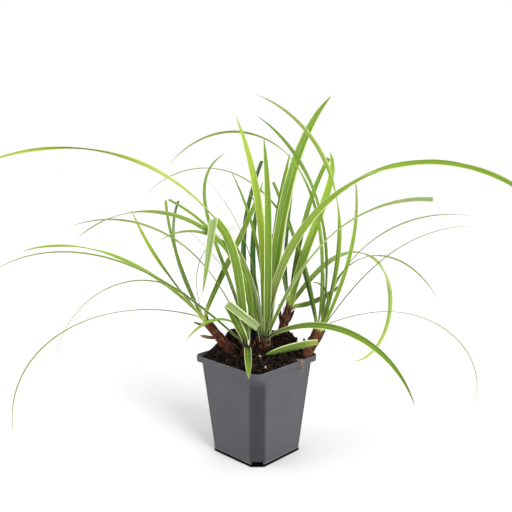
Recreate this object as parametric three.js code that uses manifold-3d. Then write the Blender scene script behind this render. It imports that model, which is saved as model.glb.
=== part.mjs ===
// A variegated carex sedge growing in its square nursery pot.
// Millimetres, +Z up. The origin is the centre of the pot's base, on the floor.
import * as THREE from 'three';
import Module from 'manifold-3d';

const wasm = await Module();
wasm.setup();

// ---------------------------------------------------------------- driving dimensions

// Square pot with cut corners: half width of its outside, how much of each side the cut takes,
// and the radius that softens the cut's two edges. It stands on a foot set in from the wall.
const POT = {
  height: 99.5,
  wall: 1.4,
  foot: { inset: 2.2, height: 1.8 },
  base: { half: 34.65, cut: 9, round: 4 },
  shoulder: { half: 43, cut: 9, round: 4, z: 93.5 },
  rim: { half: 45, cut: 4.7, round: 7, taper: 0.4, edge: 0.5 },
  floor: 3.2,
  roundSteps: 2,
};

// A drain notch under each corner, with a hole in its roof.
const DRAIN = { width: 11.4, height: 5, reach: 36, hole: 4.6, holeAt: 38.5 };

const GAP = 0.3;

// The soil's mound, and two clods at its back. Their places are [right, away] in the plant's frame.
const SOIL = { edge: 97, rise: 14, slope: 0.5, reach: 18, lump: 0.7, sidePoints: 4 };
const CLODS = [
  { at: [-24, 15], high: 5, reach: 11 },
  { at: [33, 13], high: 8, reach: 11 },
];

// The plant's own left-to-right line is turned from the pot's X axis by this angle.
const PLANT_TURN = 44;

// Blades: thickness, how deep the keel hangs below the edges, mesh step along the blade, how late
// it is drawn to a point, and the radius of a crease.
const BLADE = { thick: 0.7, keel: 0.16, step: 23, narrow: 2.9, tip: 5, crease: 0.9 };
const BAR_SIDES = 14;

// Each shoot: where its leaves part (crown), where it is rooted (foot), the brown sheath's
// radius at foot and mouth, how far below the crown the mouth lies, and the leaf core's radius.
// Places are [right, away, up] in the plant's own frame.
//
// Each leaf: to = compass heading (0 right, 90 away, 180 left), lift = climb at the root,
// long = length, droop = how far it bends down by the tip, bend = how late it does so,
// sway = how far the heading drifts, wide = width, face = roll at the root, twist = roll
// gained by the tip, x = shift of the root, cut = a blunt end. Angles are in degrees.
// A crease folds the blade over a line across it: at = how far along, slant = the line's angle to
// the blade's run, turn = how far the rest is folded over. Beyond it the blade runs straight.
const SHOOTS = [
  {
    name: 'left',
    crown: [-53, -8, 140],
    foot: [-20, -4, 96],
    sheath: { foot: 4.8, mouth: 4.2, below: 5 },
    core: 2.9,
    leaves: [
      { to: 175, lift: 46, long: 210, droop: 65, bend: 1.3, sway: -6, wide: 4.4, face: 80, twist: 0 },
      { to: 184, lift: 74, long: 188, droop: 150, bend: 0.8, sway: 27, wide: 2, face: 90, twist: -60 },
      { to: 203, lift: 20, long: 266, droop: 120, bend: 1.3, sway: -34, wide: 2.6, face: 70, twist: -190 },
      { to: 155, lift: 42, long: 145, droop: -5, bend: 1.4, sway: -29, wide: 3.4, face: 0, twist: -60 },
      {
        to: 141, lift: 54, long: 140, droop: 7, bend: 1.2, sway: -40,
        wide: 3.2, face: 130, twist: 30, cut: 1,
      },
      {
        to: 130, lift: 46, long: 180, droop: 17, bend: 0.5, sway: -48,
        wide: 3.6, face: 130, twist: 50, cut: 1,
      },
      { to: 50, lift: 60, long: 200, droop: 35, bend: 0.7, sway: 31, wide: 6, face: 40, twist: -20, x: 1 },
      { to: 115, lift: 54, long: 172, droop: 41, bend: 0.5, sway: -76, wide: 1.8, face: 40, twist: 60 },
    ],
    bracts: [
      { up: 0.62, to: 186, lift: 6, long: 15, droop: -12, bend: 1, sway: 0, wide: 5, face: 60, twist: 0 },
      { up: 0.94, to: 182, lift: 14, long: 12, droop: -10, bend: 1, sway: 0, wide: 3.4, face: 60, twist: 0 },
    ],
  },
  {
    name: 'front',
    crown: [-10, -12, 114],
    foot: [-9, -11, 88],
    sheath: { foot: 6, mouth: 5.6, below: 5 },
    core: 3.9,
    leaves: [
      {
        to: 185, lift: 44, long: 285, droop: 82, bend: 1.8, sway: -8,
        wide: 4.6, face: 80, twist: -40, x: -2,
      },
      {
        to: 187, lift: 101, long: 257, droop: 143, bend: 1.14, sway: 11,
        wide: 4.6, face: 90, twist: -10, x: 1,
      },
      { to: 181, lift: 71, long: 229, droop: 92, bend: 1.6, sway: 16, wide: 2.6, face: 70, twist: -190 },
      { to: 183, lift: 83, long: 127, droop: 45, bend: 1.4, sway: -1, wide: 1.8, face: 90, twist: -80 },
      { to: 216, lift: 102, long: 88, droop: 150, bend: 0.7, sway: 1, wide: 3.4, face: 0, twist: -70, x: -2 },
      { to: 149, lift: 92, long: 291, droop: 77, bend: 0.53, sway: -86, wide: 3.4, face: 150, twist: 80 },
      {
        to: 174, lift: 101, long: 177, droop: 137, bend: 1.64, sway: 27,
        wide: 3.6, face: 110, twist: -10, x: 1,
      },
      { to: -88, lift: -10, long: 56, droop: 42, bend: 4, sway: 0, wide: 7, face: 0, twist: 10, x: 1 },
      {
        to: 196, lift: 83, long: 205, droop: 292, bend: 4.4, sway: 6, wide: 8.8, face: 60, twist: 45, x: 1,
        crease: { at: 0.64, slant: 120, turn: 165 },
      },
      {
        to: 204, lift: 66, long: 90, droop: 8, bend: 0.7, sway: 21, wide: 9, face: 70, twist: 20, x: 1,
        crease: { at: 0.54, slant: 80, turn: 165 }, cut: 1,
      },
    ],
    bracts: [
      { up: 0.96, to: 196, lift: 40, long: 13, droop: 0, bend: 1, sway: 0, wide: 5, face: 0, twist: 0 },
      { up: 0.96, to: 330, lift: 66, long: 12, droop: 0, bend: 1, sway: 0, wide: 5, face: 0, twist: 0 },
    ],
  },
  {
    name: 'centre',
    crown: [8, -3, 116],
    foot: [8, -3, 86],
    sheath: { foot: 7.8, mouth: 7.2, below: 4.5 },
    core: 5.6,
    leaves: [
      {
        to: 184, lift: 87, long: 363, droop: 110, bend: 1.1, sway: 28,
        wide: 7.6, face: 70, twist: -190, x: -2,
      },
      {
        to: 164, lift: 79, long: 174, droop: 54, bend: 1.3, sway: 6,
        wide: 5.4, face: 90, twist: 80, x: -3, cut: 1,
      },
      {
        to: -34, lift: 81, long: 375, droop: 130, bend: 1.38, sway: 2,
        wide: 8.4, face: 80, twist: 170, x: -1,
      },
      { to: 63, lift: 78, long: 282, droop: 47, bend: 2.1, sway: -13, wide: 11.5, face: 30, twist: 10, x: 2 },
      { to: 120, lift: 91, long: 228, droop: 33, bend: 1.6, sway: 13, wide: 9.2, face: 155, twist: 0 },
      { to: 96, lift: 99, long: 203, droop: 36, bend: 1.8, sway: 6, wide: 7.6, face: -10, twist: 0, x: 2 },
      { to: 76, lift: 78, long: 203, droop: 27, bend: 1.2, sway: -6, wide: 7, face: 20, twist: 0, x: 3 },
      {
        to: 105, lift: 49, long: 198, droop: 10, bend: 0.9, sway: -29,
        wide: 5.2, face: 170, twist: 30, x: -3,
      },
      {
        to: 111, lift: 33, long: 277, droop: -11, bend: 1.3, sway: -44,
        wide: 5.6, face: 160, twist: 10, x: -3, cut: 1,
      },
      { to: 151, lift: 91, long: 175, droop: 31, bend: 1.3, sway: 9, wide: 2.8, face: 80, twist: 40 },
      {
        to: 137, lift: 87, long: 177, droop: 47, bend: 1.3, sway: 17,
        wide: 1.8, face: 130, twist: 80, x: -2,
      },
      {
        to: -26, lift: 67, long: 235, droop: 68, bend: 1.7, sway: -11,
        wide: 7.4, face: 110, twist: 140, x: 1, cut: 1,
      },
      { to: -26, lift: 36, long: 186, droop: 105, bend: 1.1, sway: -9, wide: 8, face: 30, twist: 80, x: -1 },
      { to: 149, lift: 87, long: 45, droop: 21, bend: 1.4, sway: 0, wide: 4.5, face: 120, twist: 0, x: -1 },
    ],
    bracts: [
      { up: 0.97, to: 215, lift: 72, long: 11, droop: 0, bend: 1, sway: 0, wide: 6, face: 0, twist: 0 },
      { up: 0.97, to: 262, lift: 76, long: 10, droop: 0, bend: 1, sway: 0, wide: 6, face: 0, twist: 0 },
    ],
  },
  {
    name: 'back',
    crown: [33, 12, 147],
    foot: [20, 15, 94],
    sheath: { foot: 4.8, mouth: 4, below: 5 },
    core: 2.8,
    leaves: [
      {
        to: 68, lift: 73, long: 179, droop: 36, bend: 1.1, sway: -10,
        wide: 5.4, face: 20, twist: 20, x: 1, cut: 1,
      },
      { to: 19, lift: 79, long: 206, droop: 57, bend: 1, sway: 77, wide: 9.4, face: 60, twist: -60, x: 1 },
      {
        to: 50, lift: 35, long: 343, droop: 230, bend: 1.7, sway: -11,
        wide: 6.8, face: 60, twist: -130, x: 1,
      },
      { to: 13, lift: -20, long: 65, droop: -60, bend: 0.5, sway: 3, wide: 6, face: 50, twist: -20 },
      { to: 99, lift: 40, long: 143, droop: -22, bend: 1.3, sway: -30, wide: 3.6, face: 170, twist: 30 },
      { to: 128, lift: 80, long: 130, droop: 34, bend: 0.9, sway: 9, wide: 3.4, face: 130, twist: 0, x: -1 },
    ],
    bracts: [
      { up: 0.7, to: 180, lift: 84, long: 20, droop: 0, bend: 1, sway: 0, wide: 3.4, face: 90, twist: 0 },
      { up: 0.75, to: 0, lift: 66, long: 15, droop: 0, bend: 1, sway: 0, wide: 3.2, face: 90, twist: 0 },
    ],
  },
  {
    name: 'right',
    crown: [63, -8, 131],
    foot: [45, 2, 88],
    sheath: { foot: 4.8, mouth: 6.2, below: 5 },
    core: 4.7,
    leaves: [
      {
        to: 103, lift: 51, long: 191, droop: 12, bend: 0.8, sway: 8,
        wide: 5, face: 130, twist: 30, x: -3.5, cut: 1,
      },
      {
        to: 120, lift: 74, long: 312, droop: 119, bend: 1.55, sway: 46,
        wide: 2.2, face: 150, twist: 50, x: -3,
      },
      { to: 158, lift: 105, long: 256, droop: 85, bend: 1.7, sway: 26, wide: 4.4, face: 70, twist: 30, x: 2 },
      { to: 137, lift: 103, long: 235, droop: 73, bend: 1.2, sway: 13, wide: 4.6, face: 0, twist: 130 },
      {
        to: 104, lift: 104, long: 346, droop: 153, bend: 1.3, sway: 61,
        wide: 3, face: 110, twist: 180, x: -2,
      },
      { to: 38, lift: 55, long: 176, droop: 4, bend: 1.3, sway: 55, wide: 5.4, face: 50, twist: -50, x: 3 },
      { to: 1, lift: 82, long: 197, droop: 91, bend: 1.1, sway: -9, wide: 2.9, face: 90, twist: 220, x: 2 },
      {
        to: -20, lift: 57, long: 180, droop: 52, bend: 1.8, sway: -17,
        wide: 2, face: 80, twist: -60, x: 3.5,
      },
      { to: 64, lift: 76, long: 235, droop: 136, bend: 0.8, sway: -51, wide: 3, face: 40, twist: -150, x: 2 },
      {
        to: -18, lift: 25, long: 203, droop: 132, bend: 1.7, sway: -7,
        wide: 2.2, face: 110, twist: 160, x: 1,
      },
      { to: 80, lift: 57, long: 61, droop: 7, bend: 1.3, sway: 2, wide: 2.4, face: 170, twist: 20, x: 1 },
      {
        to: 126, lift: 110, long: 56, droop: 131, bend: 2.3, sway: 21,
        wide: 2.8, face: 110, twist: 10, x: 3,
      },
    ],
    bracts: [
      { up: 0.5, to: 4, lift: 60, long: 24, droop: 0, bend: 1, sway: 0, wide: 4.2, face: 80, twist: 0 },
      { up: 0.45, to: 226, lift: 74, long: 14, droop: 0, bend: 1, sway: 0, wide: 5, face: 10, twist: 0 },
    ],
  },
];

// A lower leaf of the right shoot, laid back over the soil from the front of its sheath.
const LOW_LEAF = {
  root: [60.5, -10.7, 115.75],
  leaf: { to: 187, lift: -8, long: 54, droop: 8, bend: 1, sway: 0, wide: 9, face: 70, twist: 5 },
};

// ---------------------------------------------------------------- solids from rings

const radians = THREE.MathUtils.degToRad;
const { clamp, lerp } = THREE.MathUtils;

// Closes a stack of rings of equal length. Each ring runs anticlockwise seen from the last one.
// A flat blade's ring is split across its thickness, and any other ring is fanned from its middle.
function solidFromRings(rings, flat = false) {
  const count = rings[0].length;
  const points = rings.flat();
  const triangles = [];
  for (let level = 0; level + 1 < rings.length; level += 1) {
    for (let i = 0; i < count; i += 1) {
      const a = level * count + i;
      const b = level * count + ((i + 1) % count);
      triangles.push(a, b, b + count, a, b + count, a + count);
    }
  }
  const lastRing = (rings.length - 1) * count;
  if (flat) {
    for (let i = 0; i + 1 < count / 2; i += 1) {
      const [a, b, c, d] = [i, i + 1, count - 2 - i, count - 1 - i];
      triangles.push(a, c, b, a, d, c);
      triangles.push(lastRing + a, lastRing + b, lastRing + c, lastRing + a, lastRing + c, lastRing + d);
    }
  } else {
    for (const start of [0, lastRing]) {
      const ring = points.slice(start, start + count);
      const middle = points.length;
      points.push([0, 1, 2].map((axis) => ring.reduce((sum, p) => sum + p[axis], 0) / count));
      for (let i = 0; i < count; i += 1) {
        const next = start + ((i + 1) % count);
        triangles.push(...(start ? [start + i, next, middle] : [next, start + i, middle]));
      }
    }
  }
  return new wasm.Manifold(new wasm.Mesh({
    numProp: 3,
    vertProperties: new Float32Array(points.flat()),
    triVerts: new Uint32Array(triangles),
  }));
}

// A ring of a square with cut corners at one height, with extra points along its sides if asked.
function squareRing({ half, cut, round }, z, sidePoints = 0) {
  const tangent = round * Math.tan(Math.PI / 8);
  const [near, far] = [half - cut - tangent, half - round];
  const corner = [];
  for (const [cx, cy, from] of [[far, near, 0], [near, far, 45]]) {
    for (let i = 0; i <= POT.roundSteps; i += 1) {
      const angle = radians(from + (45 * i) / POT.roundSteps);
      corner.push([cx + round * Math.cos(angle), cy + round * Math.sin(angle)]);
    }
  }
  for (let i = 1; i <= sidePoints; i += 1) {
    corner.push([near * (1 - (2 * i) / (sidePoints + 1)), half]);
  }
  const quarters = [([x, y]) => [x, y, z], ([x, y]) => [-y, x, z], ([x, y]) => [-x, -y, z], ([x, y]) => [y, -x, z]];
  return quarters.flatMap((turned) => corner.map(turned));
}

// The outline of a square moved in by a distance on every side, its cut corners too.
const inset = ({ half, cut, round }, by) => ({
  half: half - by,
  cut: cut - by * (2 - Math.SQRT2),
  round: Math.max(round - by, 0.5),
});

// A place in the plant's frame, turned into the pot's frame.
const PLANT = new THREE.Matrix4().makeRotationZ(radians(PLANT_TURN));
const place = (at) => new THREE.Vector3(...at).applyMatrix4(PLANT);

// A round bar between two points, with a radius at each end.
function bar(from, to, radiusFrom, radiusTo) {
  const axis = to.clone().sub(from).normalize();
  const side = new THREE.Vector3(0, 1, 0).cross(axis).normalize();
  const up = axis.clone().cross(side);
  const ringAt = (centre, radius) => Array.from({ length: BAR_SIDES }, (_, i) => {
    const angle = (i / BAR_SIDES) * 2 * Math.PI;
    return centre.clone()
      .addScaledVector(side, radius * Math.cos(angle))
      .addScaledVector(up, radius * Math.sin(angle))
      .toArray();
  });
  return solidFromRings([ringAt(from, radiusFrom), ringAt(to, radiusTo)]);
}

// The radius of a hole whose flats stay clear of a bar.
const clearOf = (radius) => radius + GAP / Math.cos(Math.PI / BAR_SIDES);

// A box along a diagonal of the pot, from one distance out to beyond the corner.
function diagonalBox(turn, inner, width, bottom, top) {
  const outer = POT.rim.half * Math.SQRT2;
  const corners = [[inner, -width / 2], [outer, -width / 2], [outer, width / 2], [inner, width / 2]];
  const ringAt = (z) => corners.map(([x, y]) => [
    x * Math.cos(turn) - y * Math.sin(turn),
    x * Math.sin(turn) + y * Math.cos(turn),
    z,
  ]);
  return solidFromRings([ringAt(bottom), ringAt(top)]);
}

// ---------------------------------------------------------------- pot and soil

// The four drain notches, grown by a margin.
const notches = (grow, bottom) => [45, 135, 225, 315]
  .map((turn) => diagonalBox(
    radians(turn),
    DRAIN.reach - grow,
    DRAIN.width + 2 * grow,
    bottom,
    DRAIN.height + grow,
  ))
  .reduce((all, box) => all.add(box));

// The inside of the pot, shrunk by a margin, as outlines and their heights.
const insideSteps = (margin) => {
  const { base, shoulder, rim, wall } = POT;
  return [
    [inset(base, wall + margin), POT.floor + margin],
    [inset(shoulder, wall + margin), shoulder.z - 1 + margin],
    [inset(rim, rim.taper + wall + margin), shoulder.z + wall + margin],
  ];
};

function makePot() {
  const { foot, base, shoulder, rim } = POT;
  const standing = inset(base, foot.inset);
  const outside = solidFromRings([
    squareRing(standing, 0),
    squareRing(standing, foot.height),
    squareRing(base, foot.height),
    squareRing(shoulder, shoulder.z),
    squareRing(inset(rim, rim.taper), shoulder.z),
    squareRing(rim, POT.height - rim.edge),
    squareRing(inset(rim, rim.edge), POT.height),
  ]);
  const inside = solidFromRings([
    ...insideSteps(0).map((step) => squareRing(...step)),
    squareRing(inset(rim, POT.wall), POT.height + 1),
  ]);
  const holes = [45, 135, 225, 315].map((turn) => {
    const [x, y] = [DRAIN.holeAt * Math.cos(radians(turn)), DRAIN.holeAt * Math.sin(radians(turn))];
    return bar(new THREE.Vector3(x, y, 1), new THREE.Vector3(x, y, 9), DRAIN.hole / 2, DRAIN.hole / 2);
  });
  const roofs = notches(POT.wall, 0).intersect(outside);
  return holes.reduce(
    (pot, hole) => pot.subtract(hole),
    outside.subtract(inside).add(roofs).subtract(notches(0, -1)),
  );
}

// The mound's height: low along the rim, flat on top, and higher at the plant's back.
function soilHeight(x, y) {
  const [cos, sin] = [Math.cos(radians(PLANT_TURN)), Math.sin(radians(PLANT_TURN))];
  const [right, away] = [x * cos + y * sin, y * cos - x * sin];
  const inner = POT.rim.half - POT.wall;
  const out = Math.min(1, (Math.abs(x) ** 4 + Math.abs(y) ** 4) ** 0.25 / inner);
  const rise = SOIL.rise + SOIL.slope * clamp(away, -SOIL.reach, SOIL.reach);
  const lumps = SOIL.lump * Math.sin(0.42 * x + 1) * Math.sin(0.37 * y + 2);
  const clods = CLODS.reduce((sum, { at, high, reach }) => (
    sum + high * Math.exp(-((right - at[0]) ** 2 + (away - at[1]) ** 2) / reach ** 2)
  ), 0);
  return SOIL.edge + (rise + lumps) * (1 - out ** 4) + clods * (1 - out ** 12);
}

function makeSoil(feet) {
  const steps = insideSteps(GAP);
  const [outline] = steps[steps.length - 1];
  const rings = steps.map((step) => squareRing(...step, SOIL.sidePoints));
  rings.push(squareRing(outline, SOIL.edge, SOIL.sidePoints));
  for (const scale of [0.95, 0.89, 0.82, 0.74, 0.64, 0.52, 0.37, 0.2]) {
    rings.push(squareRing(outline, 0, SOIL.sidePoints).map(([x, y]) => (
      [x * scale, y * scale, soilHeight(x * scale, y * scale)]
    )));
  }
  const mound = solidFromRings(rings).subtract(notches(POT.wall + GAP, 0));
  return feet.reduce((soil, foot) => soil.subtract(foot), mound);
}

// ---------------------------------------------------------------- blades

// Direction and side of a blade at a share of its length, in the pot's frame.
function bladeFrame(leaf, share) {
  const s = Math.min(share, leaf.crease?.at ?? 1);
  const climb = radians(leaf.lift - leaf.droop * s ** leaf.bend);
  const heading = radians(PLANT_TURN + leaf.to + leaf.sway * s);
  const along = new THREE.Vector3(
    Math.cos(climb) * Math.cos(heading),
    Math.cos(climb) * Math.sin(heading),
    Math.sin(climb),
  );
  const side = new THREE.Vector3(-Math.sin(heading), Math.cos(heading), 0)
    .applyAxisAngle(along, radians(leaf.face + leaf.twist * s));
  return { along, side, up: along.clone().cross(side) };
}

// Width at a share s of the length: narrowed at the root, and drawn to a point unless cut.
const bladeWidth = (leaf, s) => leaf.wide * Math.min(1, 0.7 + 1.2 * s)
  * (leaf.cut ? 1 - 0.15 * s : (1 - s ** BLADE.tip) ** 0.9);

// The shares of a blade's length that get a ring, with closer ones over a crease.
function bladeShares(leaf) {
  const steps = clamp(Math.round(leaf.long / BLADE.step), 3, 15);
  const shares = Array.from({ length: steps + 1 }, (_, i) => i / steps);
  if (!leaf.crease) return shares;
  const { at, slant, turn } = leaf.crease;
  const before = Math.abs(leaf.wide / 2 / Math.tan(radians(slant))) + 1;
  const after = before + BLADE.crease * radians(turn);
  const fine = Array.from({ length: 10 }, (_, i) => at + lerp(-before, after, i / 9) / leaf.long);
  const clear = (s) => fine.every((other) => Math.abs(s - other) * leaf.long > 1);
  return [...shares.filter(clear), ...fine].sort((a, b) => a - b);
}

// Rolls what lies beyond a creased blade's line over that line.
function creased(leaf, centre, { along, side }) {
  const { slant, turn } = leaf.crease;
  const line = along.clone().multiplyScalar(Math.cos(radians(slant)))
    .addScaledVector(side, Math.sin(radians(slant)));
  const ahead = along.clone().addScaledVector(line, -line.dot(along)).normalize();
  const below = line.clone().cross(ahead);
  return (point) => {
    const from = point.clone().sub(centre);
    const run = from.dot(ahead);
    const angle = clamp(run / BLADE.crease, 0, radians(turn));
    const rest = run - BLADE.crease * angle;
    const arm = BLADE.crease - from.dot(below);
    return centre.clone()
      .addScaledVector(line, from.dot(line))
      .addScaledVector(ahead, arm * Math.sin(angle) + rest * Math.cos(angle))
      .addScaledVector(below, BLADE.crease - arm * Math.cos(angle) + rest * Math.sin(angle));
  };
}

// A blade with a keel, as one solid from its root. A narrow one is a flat strip, and a keeled
// one is flat where it is creased.
function makeBlade(leaf, root) {
  const finer = 6;
  const spine = (from, to, start) => {
    const at = start.clone();
    for (let part = 0; part < finer; part += 1) {
      const middle = lerp(from, to, (part + 0.5) / finer);
      at.addScaledVector(bladeFrame(leaf, middle).along, ((to - from) * leaf.long) / finer);
    }
    return at;
  };
  const shares = bladeShares(leaf);
  const places = shares.reduce((all, s, i) => (
    [...all, i ? spine(shares[i - 1], s, all[i - 1]) : root.clone()]
  ), []);
  let shape = (point) => point;
  if (leaf.crease) {
    const before = shares.findLastIndex((s) => s < leaf.crease.at);
    const centre = spine(shares[before], leaf.crease.at, places[before]);
    shape = creased(leaf, centre, bladeFrame(leaf, leaf.crease.at));
  }
  const rings = shares.map((s, i) => {
    const { side, up } = bladeFrame(leaf, s);
    const half = Math.max(BLADE.thick / 2, bladeWidth(leaf, s) / 2);
    const open = leaf.crease ? Math.min(1, (Math.abs(s - leaf.crease.at) * leaf.long) / 20) : 1;
    const keel = leaf.wide > BLADE.narrow ? half * 2 * BLADE.keel * open : 0;
    const across = leaf.wide > BLADE.narrow ? [[half, 0], [0, -keel], [-half, 0]] : [[half, 0], [-half, 0]];
    const point = (x, z) => (
      shape(places[i].clone().addScaledVector(side, x).addScaledVector(up, z)).toArray()
    );
    return [
      ...across.map(([x, z]) => point(x, z + BLADE.thick / 2)),
      ...across.reverse().map(([x, z]) => point(x, z - BLADE.thick / 2)),
    ];
  });
  return solidFromRings(rings, true);
}

// ---------------------------------------------------------------- shoots

// The points along a shoot that its pieces share.
function shootAxis(shoot) {
  const crown = place(shoot.crown);
  const foot = place(shoot.foot);
  const up = crown.clone().sub(foot).normalize();
  const mouth = crown.clone().addScaledVector(up, -shoot.sheath.below);
  const socket = mouth.clone().addScaledVector(up, -8);
  return { crown, foot, up, mouth, socket };
}

// The brown sheath with its loose bracts, and a socket for the leaves' core.
function makeSheath(shoot) {
  const { crown, foot, up, mouth, socket } = shootAxis(shoot);
  const body = bar(foot, mouth, shoot.sheath.foot, shoot.sheath.mouth);
  const bracts = shoot.bracts.map((bract) => {
    const heading = radians(PLANT_TURN + bract.to);
    const out = new THREE.Vector3(Math.cos(heading), Math.sin(heading), 0).projectOnPlane(up).normalize();
    const radius = lerp(shoot.sheath.foot, shoot.sheath.mouth, bract.up) - 1;
    return makeBlade(bract, foot.clone().lerp(mouth, bract.up).addScaledVector(out, radius));
  });
  const clear = clearOf(shoot.core);
  const cut = bar(socket, crown.clone().addScaledVector(up, 30), clear, clear);
  return bracts.reduce((sheath, bract) => sheath.add(bract), body).subtract(cut);
}

// All green leaves of a shoot, grown from one core.
function makeLeaves(shoot) {
  const { crown, up, socket } = shootAxis(shoot);
  const core = bar(
    socket.clone().addScaledVector(up, GAP),
    crown.clone().addScaledVector(up, 6),
    shoot.core,
    shoot.core,
  );
  return shoot.leaves
    .map((leaf) => makeBlade(leaf, crown.clone().add(place([leaf.x ?? 0, 0, 0]))))
    .reduce((all, blade) => all.add(blade), core);
}

// A plain hole in the soil for a shoot's foot.
function footHole(shoot) {
  const { foot, mouth, up } = shootAxis(shoot);
  const wider = (shoot.sheath.mouth - shoot.sheath.foot) / mouth.distanceTo(foot);
  const end = (along) => [foot.clone().addScaledVector(up, along), clearOf(shoot.sheath.foot + wider * along)];
  const [[bottom, radius], [top, topRadius]] = [end(-GAP), end(60)];
  return bar(bottom, top, radius, topRadius);
}

// ---------------------------------------------------------------- scene graph

const MATERIALS = {
  pot: { color: 0x5c5c61, roughness: 0.55 },
  soil: { color: 0x2b1e17, roughness: 0.95 },
  sheath: { color: 0x5f3527, roughness: 0.7 },
  leaves: { color: 0x74a03c, roughness: 0.5 },
};

const sedge = new THREE.Group();

function addPiece(name, slot, solid) {
  const { vertProperties, triVerts } = solid.getMesh();
  const geometry = new THREE.BufferGeometry();
  geometry.setAttribute('position', new THREE.BufferAttribute(vertProperties, 3));
  geometry.setIndex(new THREE.BufferAttribute(triVerts, 1));
  geometry.computeVertexNormals();
  const mesh = new THREE.Mesh(geometry, new THREE.MeshStandardMaterial({ metalness: 0, ...MATERIALS[slot] }));
  mesh.name = name;
  sedge.add(mesh);
}

addPiece('pot', 'pot', makePot());
addPiece('soil', 'soil', makeSoil(SHOOTS.map(footHole)));
for (const shoot of SHOOTS) {
  addPiece(`${shoot.name}_sheath`, 'sheath', makeSheath(shoot));
  addPiece(`${shoot.name}_leaves`, 'leaves', makeLeaves(shoot));
}
addPiece('right_low_leaf', 'leaves', makeBlade(LOW_LEAF.leaf, place(LOW_LEAF.root)));

export default sedge;
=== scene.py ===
"""A variegated carex sedge growing in its square nursery pot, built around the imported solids.

Shapes are in millimetres until a mesh is made; materials, lamps and the camera are in metres, and
angles in degrees. The plant's own frame has x to the right, y away and z up. It is turned by
PLANT_TURN about Z from the pot's axes.
"""

import math

import bpy
import numpy as np
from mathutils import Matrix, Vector


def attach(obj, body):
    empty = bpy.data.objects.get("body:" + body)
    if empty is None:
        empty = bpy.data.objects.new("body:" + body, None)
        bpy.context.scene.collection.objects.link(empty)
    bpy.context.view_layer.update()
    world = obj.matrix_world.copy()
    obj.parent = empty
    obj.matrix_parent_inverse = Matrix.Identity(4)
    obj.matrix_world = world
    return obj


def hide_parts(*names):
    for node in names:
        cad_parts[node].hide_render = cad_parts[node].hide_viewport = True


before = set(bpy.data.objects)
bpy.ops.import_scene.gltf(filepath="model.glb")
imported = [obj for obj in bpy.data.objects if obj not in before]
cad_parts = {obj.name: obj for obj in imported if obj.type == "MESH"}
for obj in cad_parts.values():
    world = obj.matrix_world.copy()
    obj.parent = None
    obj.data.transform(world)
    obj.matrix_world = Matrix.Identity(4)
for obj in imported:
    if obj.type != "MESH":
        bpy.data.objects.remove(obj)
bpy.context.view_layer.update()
scene = bpy.context.scene

MM = 0.001
PLANT_TURN = 44


# -------- the same sizes as the solids

POT_HEIGHT, POT_WALL, POT_FLOOR = 99.5, 1.4, 3.2
FOOT_INSET, FOOT_HEIGHT = 2.2, 1.8
# Each outline is a half width, how much of a side the corner's cut takes, and its softening radius.
BASE = (34.65, 9, 4)
SHOULDER, SHOULDER_Z = (43, 9, 4), 93.5
RIM = (45, 4.7, 7)
CORNERS = (45, 135, 225, 315)
NOTCH_WIDTH, NOTCH_HEIGHT, NOTCH_REACH = 11.4, 5, 36
DRAIN_HOLE, DRAIN_AT = 4.6, 38.5

# The soil's height along the rim, its rise in the middle, its slope to the back and that one's reach.
SOIL_EDGE, SOIL_RISE, SOIL_SLOPE, SOIL_REACH = 97, 14, 0.5, 18
# Each clod's place to the right and away, its height and its reach.
CLODS = ((-24, 15, 5, 11), (33, 13, 8, 11))
# White grit that stands out, in the pot's frame: x, y and radius.
GRIT = ((34.1, -23.4, 1.8), (13.6, -9.1, 1.2))

# A blade's keel as a share of its width, how late its tip narrows, and the radius of a crease.
KEEL, TIP, CREASE = 0.16, 5, 0.9
# Points across a blade, steps along its spine, and how far a shut blade's halves turn up.
ACROSS, SPINE_STEPS, FOLD = 13, 600, 76
# Millimetres between a blade's rings, the stretch round a crease where they are closer, and where
# along it a blade takes over from the stem that leads it out of the sheath.
RING_STEP, CREASE_ZONE, STEM_END = 2.2, (-3.2, 6.3), 7
# How far below a sheath's mouth the stems and the pale core start, and how far the core stands out.
STEM_START, CORE_START, CORE_OUT = 6, 7, 4


def leaf(to, lift, long, droop, bend, sway, wide, face, twist, tint="mid", x=0, cut=0, crease=None,
         rim=0.0, dry=0.0, pale=0.0, slim=1.0, shut=None):
    """One blade. The nine numbers, x, cut and crease mean what they mean in the solids: compass
    heading, climb at the root, length, how far and how late it bends down, drift of the heading,
    width, roll at the root, roll gained by the tip, shift of the root, blunt end, and the crease's
    place, slant and turn. Then the colours at root, middle and tip, the cream share of the edges,
    how much of the tip has dried, how pale its upper face is, the living leaf's share of the solid's
    width, which has to be thick enough to hold, and where along it the two halves fold shut on the
    keel, with the reach of that."""
    return dict(to=to, lift=lift, long=long, droop=droop, bend=bend, sway=sway, wide=wide * slim,
                face=face, twist=twist, tint=tint, x=x, cut=cut, crease=crease, rim=rim, dry=dry,
                pale=pale, shut=shut)


def grow(*leaves, **form):
    """One shoot: its blades, and its form. That is the places of its crown and its foot, the sheath's
    radii at foot and mouth, how far below the crown the mouth is, the core's radius, the colour that
    the blades start with, those of the sheath and of the bracts from foot to top, how far the sheath
    stands past its mouth, and each bract with its share of the height."""
    return dict(form, leaves=leaves)


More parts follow.
